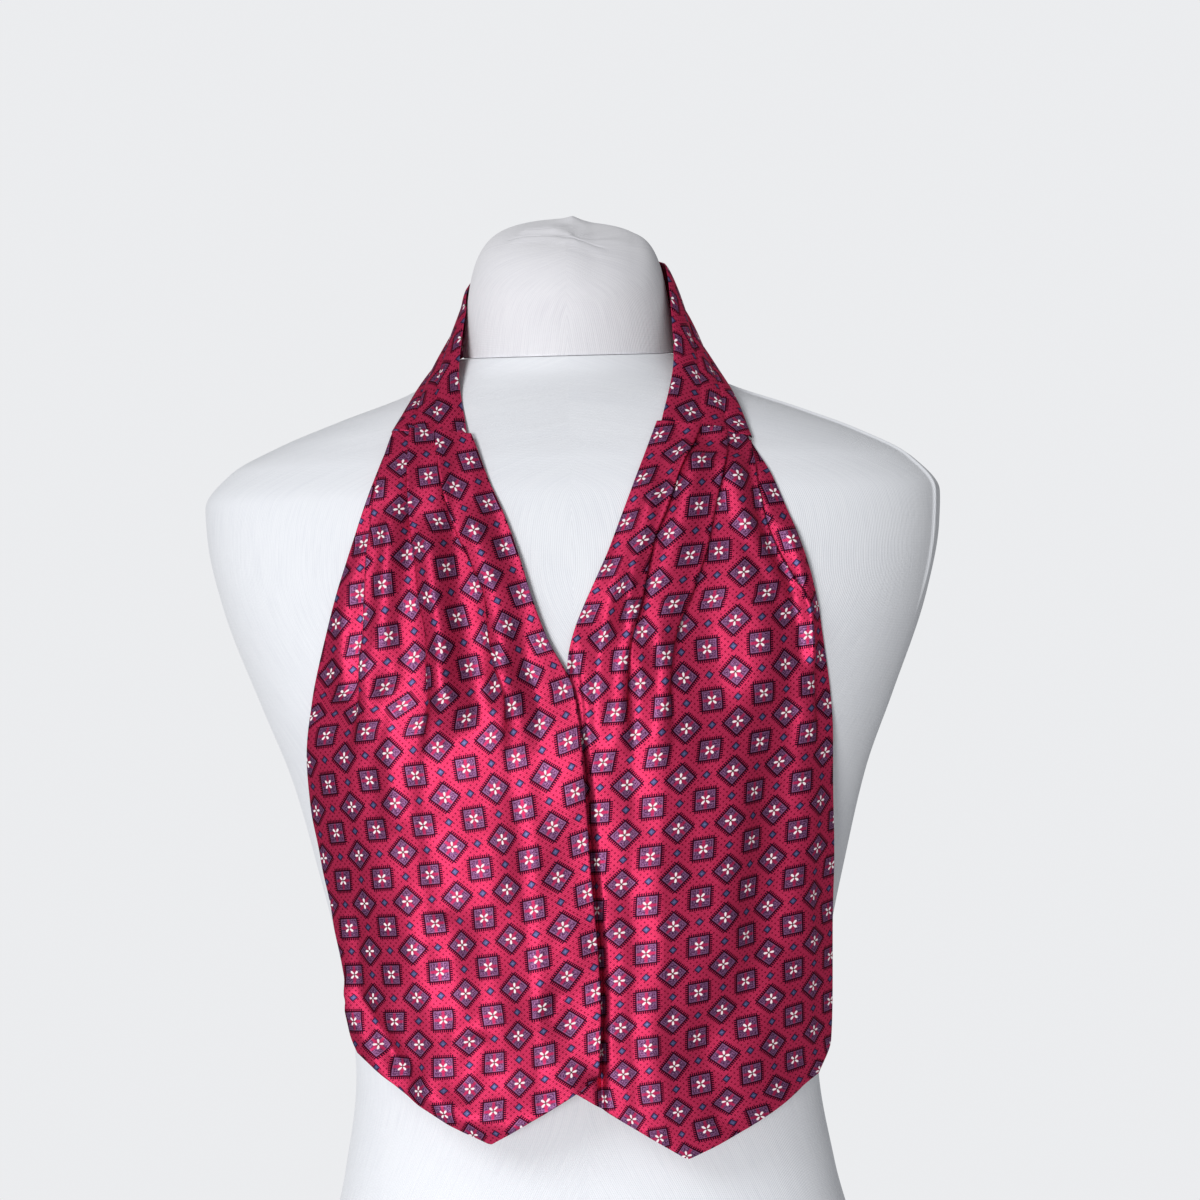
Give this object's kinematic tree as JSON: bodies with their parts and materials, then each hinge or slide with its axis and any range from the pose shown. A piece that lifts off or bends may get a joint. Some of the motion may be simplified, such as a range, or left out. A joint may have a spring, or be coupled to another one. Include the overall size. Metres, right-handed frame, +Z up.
{
  "type": "pleated day cravat on a dress form",
  "caption": "Neck cravat of printed silk: a narrow band round the neck and two wide pleated aprons with pointed hems, lying on a limbless dress form.",
  "frame": {"origin": "middle of the form's flat base", "axes": "+Z up, the form faces -Y, +X to the viewer's right from the front"},
  "size_m": [0.4282, 0.2571, 0.7128],
  "materials": {
    "foulard": "silk twill with a small printed repeat",
    "jersey": "fine white knit, matt"
  },
  "bodies": {
    "root": {"dress_form_torso": "jersey", "dress_form_neck_cap": "jersey", "neck_band": "foulard", "apron_over": "foulard", "apron_under": "foulard"}
  },
  "joints": []
}
